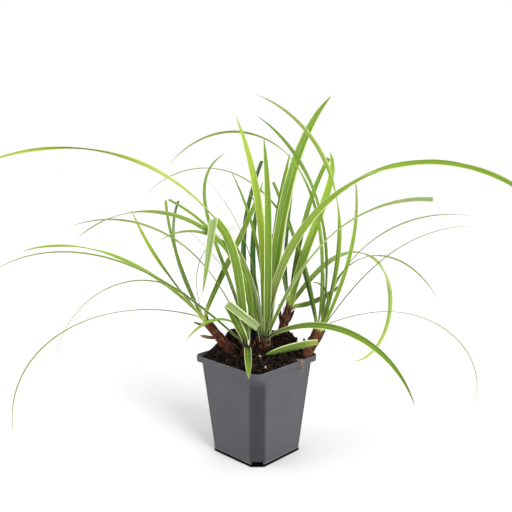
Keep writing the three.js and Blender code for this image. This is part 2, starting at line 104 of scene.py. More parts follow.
LEFT = grow(
    leaf(175, 46, 210, 65, 1.3, -6, 4.4, 80, 0, "bright lime lime", rim=0.12, slim=0.95,
         shut=(0.64, 0.13)),
    leaf(184, 74, 188, 150, 0.8, 27, 2, 90, -60, "mid olive olive", dry=0.03, slim=0.75),
    leaf(203, 20, 266, 120, 1.3, -34, 2.6, 70, -190, "olive", dry=0.02, slim=0.75),
    leaf(155, 42, 145, -5, 1.4, -29, 3.4, 0, -60, "mid bright bright", slim=1.2, shut=(0.25, 0.25)),
    leaf(141, 54, 140, 7, 1.2, -40, 3.2, 130, 30, cut=1),
    leaf(130, 46, 180, 17, 0.5, -48, 3.6, 130, 50, "mid under dark", cut=1),
    leaf(50, 60, 200, 35, 0.7, 31, 6, 40, -20, "mid mid lime", x=1, rim=(0.12, 0.1)),
    leaf(115, 54, 172, 41, 0.5, -76, 1.8, 40, 60, "olive", dry=0.03, slim=0.6),
    crown=(-53, -8, 140), foot=(-20, -4, 96), radii=(4.8, 4.2), below=5, core=2.9,
    base="pale", bark="shade plum umber", scale="umber straw straw",
    bracts=[(0.62, leaf(186, 6, 15, -12, 1, 0, 8, 60, 0, slim=0.6)),
            (0.94, leaf(182, 14, 12, -10, 1, 0, 3.4, 60, 0))],
)
FRONT = grow(
    leaf(185, 44, 285, 82, 1.8, -8, 4.6, 80, -40, "dark mid olive", x=-2, rim=(0.2, 0.1), slim=0.6),
    leaf(187, 101, 257, 143, 1.14, 11, 4.6, 90, -10, "mid mid olive", x=1, rim=0.1, slim=0.95,
         shut=(0.82, 0.12)),
    leaf(181, 71, 229, 92, 1.6, 16, 2.6, 70, -190, "mid olive olive"),
    leaf(183, 83, 127, 45, 1.4, -1, 1.8, 90, -80, "mid olive olive", dry=0.04, slim=0.7),
    leaf(216, 102, 88, 150, 0.7, 1, 3.4, 0, -70, "mid lime lime", x=-2),
    leaf(149, 92, 291, 77, 0.53, -86, 3.4, 150, 80, slim=1.15),
    leaf(174, 101, 177, 137, 1.64, 27, 3.6, 110, -10, "mid mid olive", x=1),
    leaf(-88, -10, 56, 42, 4, 0, 7, 0, 10, "mid mid lime", x=1, rim=0.14, dry=0.06),
    leaf(196, 83, 205, 292, 4.4, 6, 8.8, 60, 45, x=1, crease=(0.64, 120, 165), rim=(0.12, 0.14),
         pale=0.75),
    leaf(204, 66, 90, 8, 0.7, 21, 9, 70, 20, "mid mid under", x=1, cut=1, crease=(0.54, 80, 165),
         rim=(0.14, 0.3), pale=0.45),
    crown=(-10, -12, 114), foot=(-9, -11, 88), radii=(6, 5.6), below=5, core=3.9,
    base="shade", bark="shade umber umber", scale="shade umber tan",
    bracts=[(0.96, leaf(196, 40, 13, 0, 1, 0, 5, 0, 0, slim=0.7)),
            (0.96, leaf(330, 66, 12, 0, 1, 0, 5, 0, 0, slim=0.7))],
)
CENTRE = grow(
    leaf(184, 87, 363, 110, 1.1, 28, 7.6, 70, -190, "under pale bright", x=-2, rim=0.12, slim=0.8,
         shut=(0.74, 0.14)),
    leaf(164, 79, 174, 54, 1.3, 6, 5.4, 90, 80, x=-3, cut=1, rim=(0.2, 0.14), pale=0.3),
    leaf(-34, 81, 375, 130, 1.38, 2, 8.4, 80, 170, "olive lime mid", x=-1, rim=(0.14, 0.1),
         shut=(0.68, 0.08)),
    leaf(63, 78, 282, 47, 2.1, -13, 11.5, 30, 10, x=2, rim=(0.26, 0.1)),
    leaf(120, 91, 228, 33, 1.6, 13, 9.2, 155, 0, "lime bright bright", rim=0.12, slim=0.88),
    leaf(96, 99, 203, 36, 1.8, 6, 7.6, -10, 0, x=2, rim=0.14),
    leaf(76, 78, 203, 27, 1.2, -6, 7, 20, 0, "mid mid bright", x=3),
    leaf(105, 49, 198, 10, 0.9, -29, 5.2, 170, 30, "dark", x=-3, slim=1.15),
    leaf(111, 33, 277, -11, 1.3, -44, 5.6, 160, 10, "dark", x=-3, cut=1, slim=1.15),
    leaf(151, 91, 175, 31, 1.3, 9, 2.8, 80, 40, slim=1.15),
    leaf(137, 87, 177, 47, 1.3, 17, 1.8, 130, 80, "mid olive olive", x=-2, slim=0.7),
    leaf(-26, 67, 235, 68, 1.7, -11, 7.4, 110, 140, "mid under under", x=1, cut=1, rim=(0.16, 0.12),
         slim=0.62),
    leaf(-26, 36, 186, 105, 1.1, -9, 8, 30, 80, x=-1, rim=(0.16, 0.12), dry=0.03, slim=0.82),
    leaf(149, 87, 45, 21, 1.4, 0, 4.5, 120, 0, "mid bright bright", x=-1, rim=0.2),
    crown=(8, -3, 116), foot=(8, -3, 86), radii=(7.8, 7.2), below=4.5, core=5.6,
    base="shade", bark="shade plum umber", scale="shade umber tan",
    bracts=[(0.97, leaf(215, 72, 11, 0, 1, 0, 6, 0, 0, slim=0.6)),
            (0.97, leaf(262, 76, 10, 0, 1, 0, 6, 0, 0, slim=0.6))],
)
BACK = grow(
    leaf(68, 73, 179, 36, 1.1, -10, 5.4, 20, 20, x=1, cut=1),
    leaf(19, 79, 206, 57, 1, 77, 9.4, 60, -60, "lime", x=1, rim=0.1, slim=0.9),
    leaf(50, 35, 343, 230, 1.7, -11, 6.8, 60, -130, "mid under bright", x=1, rim=0.1, slim=0.95,
         shut=(0.56, 0.06)),
    leaf(13, -20, 65, -60, 0.5, 3, 6, 50, -20, rim=0.1),
    leaf(99, 40, 143, -22, 1.3, -30, 3.6, 170, 30, "dark dark mid"),
    leaf(128, 80, 130, 34, 0.9, 9, 3.4, 130, 0, "mid olive olive", x=-1),
    crown=(33, 12, 147), foot=(20, 15, 94), radii=(4.8, 4), below=5, core=2.8,
    base="pale", bark="shade shade plum", scale="shade shade plum", tall=7,
    bracts=[(0.7, leaf(180, 84, 20, 0, 1, 0, 3.4, 90, 0)),
            (0.75, leaf(0, 66, 15, 0, 1, 0, 3.2, 90, 0))],
)
RIGHT = grow(
    leaf(103, 51, 191, 12, 0.8, 8, 5, 130, 30, "dark dark mid", x=-3.5, cut=1, slim=0.8),
    leaf(120, 74, 312, 119, 1.55, 46, 2.2, 150, 50, "mid mid olive", x=-3, slim=1.5),
    leaf(158, 105, 256, 85, 1.7, 26, 4.4, 70, 30, "mid lime olive", x=2, rim=0.1, slim=1.1,
         shut=(0.5, 0.12)),
    leaf(137, 103, 235, 73, 1.2, 13, 4.6, 0, 130, shut=(0.45, 0.18)),
    leaf(104, 104, 346, 153, 1.3, 61, 3, 110, 180, "mid lime olive", x=-2, slim=1.15),
    leaf(38, 55, 176, 4, 1.3, 55, 5.4, 50, -50, "lime lime olive", x=3, rim=0.1, slim=0.8),
    leaf(1, 82, 197, 91, 1.1, -9, 2.9, 90, 220, "mid mid olive", x=2, dry=0.02, slim=0.55),
    leaf(-20, 57, 180, 52, 1.8, -17, 2, 80, -60, "mid olive olive", x=3.5, slim=0.6),
    leaf(64, 76, 235, 136, 0.8, -51, 3, 40, -150, "mid olive mid", x=2, slim=0.8),
    leaf(-18, 25, 203, 132, 1.7, -7, 2.2, 110, 160, "olive", x=1, dry=0.05, slim=0.55),
    leaf(80, 57, 61, 7, 1.3, 2, 2.4, 170, 20, x=1),
    leaf(126, 110, 56, 131, 2.3, 21, 2.8, 110, 10, "mid mid olive", x=3),
    crown=(63, -8, 131), foot=(45, 2, 88), radii=(3.9, 5.7), below=5, core=4.4,
    base="pale", bark="straw tan umber", scale="umber tan straw",
    bracts=[(0.5, leaf(4, 60, 24, 0, 1, 0, 4.2, 80, 0)),
            (0.45, leaf(226, 74, 14, 0, 1, 0, 5, 10, 0))],
)
SHOOTS = dict(left=LEFT, front=FRONT, centre=CENTRE, back=BACK, right=RIGHT)
LOW_LEAF = leaf(187, -8, 54, 8, 1, 0, 9, 70, 5, "lime mid mid", rim=0.16)
LOW_LEAF_ROOT = (60.5, -10.7, 115.75)


# -------- colours

def paint(red, green, blue):
    """A screen colour from 0 to 255 as linear light, with alpha."""
    screen = np.array([red, green, blue]) / 255
    linear = np.where(screen <= 0.04045, screen / 12.92, ((screen + 0.055) / 1.055) ** 2.4)
    return (*linear.tolist(), 1.0)


TINTS = dict(
    dark=paint(44, 86, 6), mid=paint(114, 145, 40), lime=paint(140, 172, 44),
    bright=paint(162, 184, 60), olive=paint(138, 150, 84), pale=paint(168, 180, 78),
    under=paint(156, 174, 118), cream=paint(236, 242, 182), straw=paint(182, 148, 100),
    tan=paint(152, 104, 74), umber=paint(104, 52, 38), plum=paint(66, 34, 32),
    shade=paint(26, 15, 14),
)


def tints_along(names, share, places):
    """Three named colours eased along a piece, each full at its own place. One name stands for all."""
    stops = np.array([TINTS[name] for name in (names.split() * 3)[:3]])
    return np.stack([np.interp(share, places, stops[:, c]) for c in range(4)], -1)[:, None]


def coated(tint, share, name):
    """A named colour laid over tints by a share."""
    return tint * (1 - share) + np.array(TINTS[name]) * share


def lit(tint, light):
    """A colour made lighter or darker."""
    return [*(np.array(tint[:3]) * light), 1]


# -------- small tools

def smooth(t):
    """A soft step: 3 t^2 - 2 t^3, held between 0 and 1."""
    t = np.clip(t, 0, 1)
    return t * t * (3 - 2 * t)


def unit(v):
    """Each row of v at length one."""
    return v / np.maximum(np.linalg.norm(v, axis=-1, keepdims=True), 1e-9)


def square_part(v, axis):
    """The part of a vector that is square to an axis."""
    return v - axis * np.dot(v, axis)


def circle(count):
    """Angles spread evenly over a full turn."""
    return np.linspace(0, 2 * np.pi, count, endpoint=False)


def turned(points, angle=PLANT_TURN):
    """Points turned about Z by an angle, which carries the plant's frame into the pot's."""
    c, s = math.cos(math.radians(angle)), math.sin(math.radians(angle))
    points = np.asarray(points, float)
    return np.stack([points[..., 0] * c - points[..., 1] * s,
                     points[..., 0] * s + points[..., 1] * c, points[..., 2]], axis=-1)


def lattice_noise(x, y, size, seed):
    """Smooth noise between -1 and 1 with one bump about every size millimetres: random values on
    the corners of a square lattice, blended by a soft step across each cell."""
    table = np.random.default_rng(seed).uniform(-1, 1, (64, 64))
    u, v = x / size + 100.37, y / size + 100.71
    i, j = np.floor(u).astype(int), np.floor(v).astype(int)
    a, b = smooth(u - i), smooth(v - j)
    corner = lambda di, dj: table[(i + di) % 64, (j + dj) % 64]
    return ((corner(0, 0) * (1 - a) + corner(1, 0) * a) * (1 - b)
            + (corner(0, 1) * (1 - a) + corner(1, 1) * a) * b)


def ring_faces(levels, around):
    """Quads between neighbouring rings of a grid, and a fan on the first and last ring. The fans use
    two more points, at the end of the list."""
    i = np.arange(levels - 1)[:, None] * around
    j = np.arange(around)[None, :]
    k = (j + 1) % around
    quads = np.stack([i + j, i + k, i + around + k, i + around + j], axis=-1).reshape(-1, 4)
    first, last, top = levels * around, levels * around + 1, (levels - 1) * around
    return quads.tolist() + [[(n + 1) % around, n, first] for n in range(around)] \
        + [[top + n, top + (n + 1) % around, last] for n in range(around)]


def mesh_object(name, points, faces, material=None):
    """A new object at the origin, its mesh made of points in millimetres."""
    mesh = bpy.data.meshes.new(name)
    mesh.from_pydata((np.asarray(points, float) * MM).tolist(), [], faces)
    if material:
        mesh.materials.append(material)
    shape = bpy.data.objects.new(name, mesh)
    scene.collection.objects.link(shape)
    return shape


def stand_for(piece, node, crease):
    """Smooths a piece up to a crease angle, puts it on its body, and hides the CAD node whose
    place it takes."""
    piece.data.shade_smooth()
    if crease:
        piece.data.set_sharp_from_angle(angle=math.radians(crease))
    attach(piece, "root")
    if node:
        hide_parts(node)


class Pile:
    """Gathers surfaces, with their fields, into one mesh."""

    def __init__(self):
        self.points, self.faces, self.fields, self.count = [], [], {}, 0

    def add(self, points, faces, **fields):
        """One more surface, with a row of each field for each of its points."""
        self.faces += [[n + self.count for n in face] for face in faces]
        self.points.append(points)
        for name, values in fields.items():
            self.fields.setdefault(name, []).append(values)
        self.count += len(points)

    def rings(self, rings, **fields):
        """A closed surface from rings of points, levels by around by 3. A field may hold one value
        for each point, each ring or the whole, and is spread over the rest."""
        levels, around = rings.shape[:2]
        flat = {}
        for name, values in dict(fields, points=rings).items():
            grid = np.broadcast_to(values, (levels, around, np.shape(values)[-1]))
            flat[name] = np.vstack([grid.reshape(levels * around, -1), grid[0].mean(0), grid[-1].mean(0)])
        self.add(faces=ring_faces(levels, around), **flat)

    def piece(self, name, material, slot, node, crease=0):
        """The gathered surfaces as one piece at the origin."""
        piece = mesh_object(name, np.vstack(self.points), self.faces, material)
        for key, parts in self.fields.items():
            values = np.vstack(parts).astype(np.float32)
            kind, entry = ("FLOAT_COLOR", "color") if values.shape[1] == 4 else ("FLOAT_VECTOR", "vector")
            piece.data.attributes.new(key, kind, "POINT").data.foreach_set(entry, values.ravel())
        stand_for(piece, node, crease)


# -------- shader parts

def join(value, socket):
    """Sets a socket to a value, or links it to another socket."""
    if isinstance(value, bpy.types.NodeSocket):
        value.id_data.links.new(value, socket)
    else:
        socket.default_value = value


def put(kind, feeds, **props):
    """A new node in the tree of the sockets that feed it, with its properties set."""
    tree = next(value.id_data for value in feeds.values() if isinstance(value, bpy.types.NodeSocket))
    node = tree.nodes.new(kind)
    for key, value in props.items():
        setattr(node, key, value)
    for key, value in feeds.items():
        join(value, node.inputs[key])
    return node


def sums(operation, a, b=0.0, c=0.0):
    """One step of arithmetic."""
    return put("ShaderNodeMath", {0: a, 1: b, 2: c}, operation=operation).outputs[0]


def times(a, b):
    """The product of two values."""
    return sums("MULTIPLY", a, b)


def split(vector):
    """The three parts of a vector or a colour."""
    return put("ShaderNodeSeparateXYZ", {0: vector}).outputs


def ease(value, low, high, to_low=0.0, to_high=1.0):
    """A soft step of value from low to high."""
    return put("ShaderNodeMapRange", {"Value": value, "From Min": low, "From Max": high,
                                      "To Min": to_low, "To Max": to_high},
               interpolation_type="SMOOTHSTEP").outputs[0]


def noise(where, scale, detail=3.0, rough=0.55):
    """Plain noise between 0 and 1."""
    return put("ShaderNodeTexNoise", {"Vector": where, "Scale": scale, "Detail": detail,
                                      "Roughness": rough}).outputs["Fac"]


def layers(colour, *coats):
    """Colours laid one over another. Each coat is its share, its colour, and how it mixes."""
    for share, over, *mode in coats:
        colour = put("ShaderNodeMix", {0: share, 6: colour, 7: over}, data_type="RGBA",
                     blend_type=mode[0] if mode else "MIX", clamp_factor=True).outputs[2]
    return colour


def own_place(tree, kind="Object"):
    """The place on the piece, in metres, or another of its coordinates."""
    return tree.nodes.new("ShaderNodeTexCoord").outputs[kind]


def field(tree, name, kind="Vector"):
    """A field that the mesh carries."""
    node = tree.nodes.new("ShaderNodeAttribute")
    node.attribute_name = name
    return node.outputs[kind]


def new_group(name, inputs, outputs):
    """An empty shader node group. Its inputs are given with their defaults, and its outputs are
    values. Returns its tree, its inputs inside, and the sockets that take its results."""
    tree = bpy.data.node_groups.new(name, "ShaderNodeTree")
    for label, default in inputs.items():
        kind = "NodeSocketVector" if isinstance(default, tuple) else "NodeSocketFloat"
        tree.interface.new_socket(label, in_out="INPUT", socket_type=kind).default_value = default
    for label in outputs:
        tree.interface.new_socket(label, in_out="OUTPUT", socket_type="NodeSocketFloat")
    return tree, tree.nodes.new("NodeGroupInput").outputs, tree.nodes.new("NodeGroupOutput").inputs


def use_group(group, **feeds):
    """A group placed in a material with its own values: returns its outputs."""
    return put("ShaderNodeGroup", feeds, node_tree=group).outputs


def group_strands():
    """Fine lines that run along a blade, sheath or fibre, and broad patches of them. The field
    'strap' holds millimetres along, the place across from -1 to 1, and the piece's own number."""
    tree, given, result = new_group(
        "long_strands", dict(Strap=(0.0, 0.0, 0.0), Lines=9.0, Wander=0.02), ["Strand", "Patch"])
    along, across, number = split(given["Strap"])
    for label, stretch, lines, detail in (("Strand", given["Wander"], given["Lines"], 2.0),
                                          ("Patch", 0.05, 1.0, 3.0)):
        where = put("ShaderNodeCombineXYZ", {0: times(along, stretch), 1: times(across, lines),
                                             2: times(number, 7.3)}).outputs[0]
        join(ease(noise(where, 1.0, detail), 0.3, 0.7), result[label])
    return tree


def group_edges():
    """Coloured edges of a blade: a share of each side, with a border that wanders a little."""
    tree, given, result = new_group(
        "blade_edges", dict(Across=0.0, Left=0.1, Right=0.1, Wander=0.5), ["Edge"])
    across = sums("ADD", given["Across"], sums("MULTIPLY_ADD", given["Wander"], 0.08, -0.04))
    masks = []
    for side, share in ((-1.0, given["Left"]), (1.0, given["Right"])):
        past = sums("SUBTRACT", times(across, side), sums("SUBTRACT", 1.0, share))
        there = sums("GREATER_THAN", share, 0.01)
        masks.append(times(ease(past, -0.05, 0.05), there))
    join(sums("MAXIMUM", *masks), result["Edge"])
    return tree


def group_crumbs():
    """Loose crumbs of two sizes: how high the surface stands, and how light the crumb is."""
    tree, given, result = new_group(
        "crumbs", dict(Where=(0.0, 0.0, 0.0), Scale=400.0), ["Height", "Shade"])
    cells = put("ShaderNodeTexVoronoi", {"Vector": given["Where"], "Scale": given["Scale"]})
    fine = noise(given["Where"], times(given["Scale"], 3.0), 4.0, 0.7)
    join(sums("SUBTRACT", fine, cells.outputs["Distance"]), result["Height"])
    join(split(cells.outputs["Color"])[0], result["Shade"])
    return tree


STRANDS, EDGES, CRUMBS = group_strands(), group_edges(), group_crumbs()


def finish(name, **constants):
    """A new material, its node tree and the sockets of its one Principled shader, whose constants
    are set on its own sockets."""
    material = bpy.data.materials.new(name)
    material.use_nodes = True
    sockets = material.node_tree.nodes["Principled BSDF"].inputs
    for key, value in constants.items():
        sockets[key.replace("_", " ")].default_value = value
    return material, material.node_tree, sockets


def feed(sockets, colour, rough, height, strength, depth):
    """Leads colour, roughness and a fine relief to a shader."""
    relief = put("ShaderNodeBump", {"Height": height, "Strength": strength, "Distance": depth})
    for name, value in (("Base Color", colour), ("Roughness", rough), ("Normal", relief.outputs[0])):
        join(value, sockets[name])


def blade_material():
    """Green blade: its own tint, fine veins, painted shade beside the pale middle, cream edges, dry tip.
    """
    material, tree, sockets = finish("sedge_blade", Specular_IOR_Level=0.3)
    strap = field(tree, "strap")
    across = split(strap)[1]
    left, right, dryness = split(field(tree, "marks"))
    lines = use_group(STRANDS, Strap=strap, Lines=9.0, Wander=0.006)
    strand, patch = lines["Strand"], lines["Patch"]
    edge = use_group(EDGES, Across=across, Left=left, Right=right, Wander=patch)["Edge"]
    # Painted shade in the groove on one side of the middle.
    painted_groove_shade = times(ease(across, 0.0, 0.10), ease(across, 0.16, 0.5, 0.5, 0.0))
    colour = layers(
        field(tree, "tint", "Color"),
        (times(strand, 0.5), (0.55, 0.64, 0.42, 1), "MULTIPLY"),
        (times(patch, 0.35), (0.72, 0.86, 0.62, 1), "MULTIPLY"),
        (painted_groove_shade, (0.55, 0.62, 0.45, 1), "MULTIPLY"),
        (ease(sums("ABSOLUTE", across), 0.02, 0.10, 0.4, 0.0), paint(190, 206, 116)),
        (times(edge, 0.85), TINTS["cream"]),
        (times(dryness, ease(strand, 0.0, 0.8, 0.75, 1.0)), TINTS["straw"]))
    feed(sockets, colour, ease(patch, 0.0, 1.0, 0.36, 0.52), strand, 0.35, 0.0003)
    return material


def sheath_material():
    """Papery sheath: its own tint with dark plum furrows, red-brown ribs and dry tan fibres."""
    material, tree, sockets = finish("dry_sheath", Specular_IOR_Level=0.15)
    strap = field(tree, "strap")
    lines = use_group(STRANDS, Strap=strap, Lines=11.0, Wander=0.05)
    strand, patch = lines["Strand"], lines["Patch"]
    fibre = use_group(STRANDS, Strap=strap, Lines=30.0, Wander=0.09)["Strand"]
    dry = times(ease(fibre, 0.5, 0.95), ease(patch, 0.55, 0.15, 0.15, 0.9))
    colour = layers(
        field(tree, "tint", "Color"),
        (ease(strand, 0.5, 0.9, 0.0, 0.7), TINTS["umber"]),
        (ease(strand, 0.4, 0.05, 0.0, 0.85), TINTS["shade"]),
        (dry, TINTS["tan"]),
        (times(dry, ease(strand, 0.7, 0.95)), TINTS["straw"]))
    height = sums("ADD", strand, times(fibre, 0.5))
    feed(sockets, colour, ease(strand, 0.0, 1.0, 0.7, 0.9), height, 0.8, 0.0008)
    return material


def soil_material():
    """Damp peat: near black hollows, brown crumbs, and a few dry tan specks."""
    material, tree, sockets = finish("damp_peat", Specular_IOR_Level=0.12)
    where = own_place(tree)
    crumbs = use_group(CRUMBS, Where=where, Scale=520.0)
    big, specks = noise(where, 150.0, 4.0), noise(where, 620.0, 2.0)
    colour = layers(
        paint(7, 4, 3),
        (ease(crumbs["Shade"], 0.35, 1.0), paint(46, 28, 20)),
        (ease(big, 0.42, 0.62), paint(9, 5, 4)),
        (ease(specks, 0.62, 0.72, 0.0, 0.75), paint(96, 62, 44)))
    feed(sockets, colour, ease(big, 0.2, 0.8, 0.8, 1.0), crumbs["Height"], 1.0, 0.0014)
    return material


def litter_material():
    """Bark, fibre and grit in the soil: each bit's own tint, broken up by fine noise."""
    material, tree, sockets = finish("soil_litter", Specular_IOR_Level=0.3)
    fine = noise(own_place(tree), 1400.0, 4.0, 0.7)
    colour = layers(field(tree, "tint", "Color"),
                    (ease(fine, 0.3, 0.75, 0.0, 0.75), (0.3, 0.24, 0.2, 1), "MULTIPLY"))
    feed(sockets, colour, ease(fine, 0.2, 0.8, 0.65, 0.95), fine, 0.6, 0.0004)
    return material


def pot_material():
    """Charcoal moulded plastic: a soft tool texture, faint streaks down the walls, smoother bands on
    the cut corners darkened by painted shade, a patchy painted highlight on the rim's top and on
    the bottom edge, painted shade on the foot, and a trace of soil dust under the rim. The band on a
    corner is where |x| + |y| comes near the wall's own sum at that height. Heights are metres above the
    table."""
    material, tree, sockets = finish("charcoal_plastic", Specular_IOR_Level=0.4)
    where = own_place(tree)
    x, y, height = split(where)
    grain = noise(where, 2600.0, 2.0, 0.6)
    stretched = put("ShaderNodeMapping", {"Vector": where, "Scale": (160.0, 160.0, 9.0)})
    streaks = noise(stretched.outputs[0], 1.0, 3.0)
    cloud = noise(where, 38.0, 3.0)
    sum_here = sums("ADD", sums("ABSOLUTE", x), sums("ABSOLUTE", y))
    spread = 2 * (SHOULDER[0] - BASE[0]) / (SHOULDER_Z - FOOT_HEIGHT)
    level = (2 * BASE[0] - BASE[1]) * MM - spread * FOOT_HEIGHT * MM
    past = sums("SUBTRACT", sum_here, sums("MULTIPLY_ADD", height, spread, level))
    # Painted shade: the bands on the cut corners are darkened to 0.38 of the colour up to 84 to 92 mm;
    # they are also smoother.
    corner = times(ease(past, -0.0042, 0.0004), ease(height, 0.084, 0.092, 1.0, 0.0))
    # A painted highlight: the top of the rim made lighter, in patches.
    rim_top_highlight = times(ease(height, 0.0983, 0.0994), ease(noise(where, 420.0, 4.0), 0.35, 0.65))
    # A painted highlight: a light band 1.9 to 3.4 mm up, on the rounded bottom edge, in patches.
    bottom_edge_highlight = times(ease(height, 0.0019, 0.0023), ease(height, 0.0026, 0.0034, 1.0, 0.0))
    highlight_patches = ease(noise(where, 300.0, 3.0), 0.3, 0.6, 0.2, 0.7)
    dust = times(ease(noise(where, 900.0, 4.0, 0.7), 0.62, 0.72), ease(height, 0.055, 0.098, 0.0, 0.4))
    colour = layers(
        paint(74, 73, 79),
        (ease(streaks, 0.3, 0.7), paint(79, 79, 85)),
        (ease(cloud, 0.35, 0.75, 0.0, 0.5), paint(70, 70, 74)),
        (corner, (0.38, 0.37, 0.40, 1), "MULTIPLY"),
        (times(rim_top_highlight, 0.35), paint(138, 136, 134)),
        (times(bottom_edge_highlight, highlight_patches), paint(150, 144, 136)),
        # Painted shade: near black below about 2 mm, on the foot and the underside.
        (ease(height, 0.0017, 0.0021, 1.0, 0.0), paint(8, 8, 9)),
        (dust, paint(84, 68, 56)))
    rough = sums("ADD", ease(streaks, 0.2, 0.8, 0.46, 0.56), times(dust, 0.4))
    rough = sums("SUBTRACT", rough, times(corner, 0.12))
    feed(sockets, colour, rough, sums("ADD", grain, times(streaks, 0.5)), 0.12, 0.0002)
    return material


BLADE, SHEATH, SOIL, LITTER, POT = (blade_material(), sheath_material(), soil_material(),
                                    litter_material(), pot_material())


# -------- blades

def strap_field(length, across, number):
    """The field 'strap' of a surface, from its lengths, its places across and its number."""
    return np.stack(np.broadcast_arrays(length, across, float(number)), -1)


def headings(blade, share):
    """Direction and side of a blade at shares s of its length. It climbs by lift less droop times
    s to the power bend, and heads to plus sway times s. The side is level at first and rolls by face
    plus twist times s. Beyond a crease s stays what it is there, so the blade runs straight."""
    s = np.minimum(share, blade["crease"][0]) if blade["crease"] else share
    climb = np.radians(blade["lift"] - blade["droop"] * s ** blade["bend"])
    head = np.radians(PLANT_TURN + blade["to"] + blade["sway"] * s)
    along = np.stack([np.cos(climb) * np.cos(head), np.cos(climb) * np.sin(head), np.sin(climb)], -1)
    level = np.stack([-np.sin(head), np.cos(head), np.zeros_like(s)], -1)
    roll = np.radians(blade["face"] + blade["twist"] * s)[:, None]
    side = level * np.cos(roll) + np.cross(along, level) * np.sin(roll)
    return along, side


def widths(blade, s):
    """Width at shares s: narrowed at the root, and drawn out to a point as 1 - s^TIP falls unless the
    end is cut, but never under a quarter of a millimetre."""
    tip = 1 - 0.15 * s if blade["cut"] else (1 - s ** TIP) ** 0.9
    return np.maximum(blade["wide"] * np.minimum(1, 0.7 + 1.2 * s) * tip, 0.25)


def spine(blade, root, s):
    """Points at shares s: the directions summed along the length from the root."""
    steps = np.linspace(0, 1, SPINE_STEPS + 1)
    along, _ = headings(blade, (steps[:-1] + steps[1:]) / 2)
    moves = np.cumsum(along * blade["long"] / SPINE_STEPS, axis=0)
    path = np.vstack([np.zeros(3), moves]) + root
    return np.stack([np.interp(s, steps, path[:, axis]) for axis in range(3)], -1)


def creased(blade, points, root):
    """What lies beyond a line across the blade, rolled over that line: a point at distance u past it
    goes round a bar of radius CREASE by the angle u / CREASE, up to the full turn, then straight on.
    Returns the points and u."""
    at, slant, turn = blade["crease"]
    along, side = (v[0] for v in headings(blade, np.array([at])))
    centre = spine(blade, root, np.array([at]))[0]
    line = along * math.cos(math.radians(slant)) + side * math.sin(math.radians(slant))
    ahead = unit(square_part(along, line))
    below = np.cross(line, ahead)
    away = points - centre
    past = away @ ahead
    angle = np.clip(past / CREASE, 0, math.radians(turn))
    rest, arm = past - CREASE * angle, CREASE - away @ below
    moved = centre + line * (away @ line)[..., None] \
        + ahead * (arm * np.sin(angle) + rest * np.cos(angle))[..., None] \
        + below * (CREASE - arm * np.cos(angle) + rest * np.sin(angle))[..., None]
    return moved, past


def stem_in(points, along, side, start, rise, count=12):
    """A smooth stretch that brings a blade out of its sheath: a curve with the ends' own directions
    from start, rising along the shoot, to the blade's first point, with the side eased over."""
    t = np.linspace(0, 1, count, endpoint=False)[:, None]
    reach = np.linalg.norm(points[0] - start)
    a, b, c, d = start, start + rise * reach * 0.45, points[0] - along[0] * reach * 0.4, points[0]
    path = a * (1 - t) ** 3 + 3 * b * t * (1 - t) ** 2 + 3 * c * t * t * (1 - t) + d * t ** 3
    way = unit(3 * (b - a) * (1 - t) ** 2 + 6 * (c - b) * t * (1 - t) + 3 * (d - c) * t * t)
    flat = np.cross(rise, unit(square_part(along[0], rise) + 1e-4))
    flat = flat * (1 if np.dot(flat, side[0]) >= 0 else -1)
    eased = flat * (1 - smooth(t)) + side[0] * smooth(t)
    eased = unit(eased - way * np.sum(eased * way, -1, keepdims=True))
    return path, way, eased


def blade_path(blade, root, rise, start):
    """Shares of the length, millimetres, points, directions, sides and widths along a blade. The
    steps are closer at a crease and at a drawn-out tip. With a start, a stem leads in from there."""
    s = np.linspace(0, 1, int(np.clip(blade["long"] / RING_STEP, 24, 150)))
    if blade["crease"]:
        close = blade["crease"][0] + np.linspace(*CREASE_ZONE, 40) / blade["long"]
        s = np.sort(np.concatenate([s, close]))
    if not blade["cut"]:
        s = np.sort(np.concatenate([s, 1 - np.array([0.008, 0.004, 0.002])]))
    points, wide, length = spine(blade, root, s), widths(blade, s), s * blade["long"]
    along, side = headings(blade, s)
    if start is not None:
        skip = int(np.searchsorted(length, STEM_END))
        s, length, points, along, side, wide = (v[skip:] for v in (s, length, points, along, side, wide))
        path, way, flat = stem_in(points, along, side, start, rise)
        lead = len(path)
        points, along, side = np.vstack([path, points]), np.vstack([way, along]), np.vstack([flat, side])
        wide = np.concatenate([np.linspace(wide[0] * 0.85, wide[0], lead, endpoint=False), wide])
        s = np.concatenate([np.full(lead, s[0] * 0.5), s])
        length = np.concatenate([np.linspace(-8, length[0], lead, endpoint=False), length])
    return s, length, points, along, side, wide


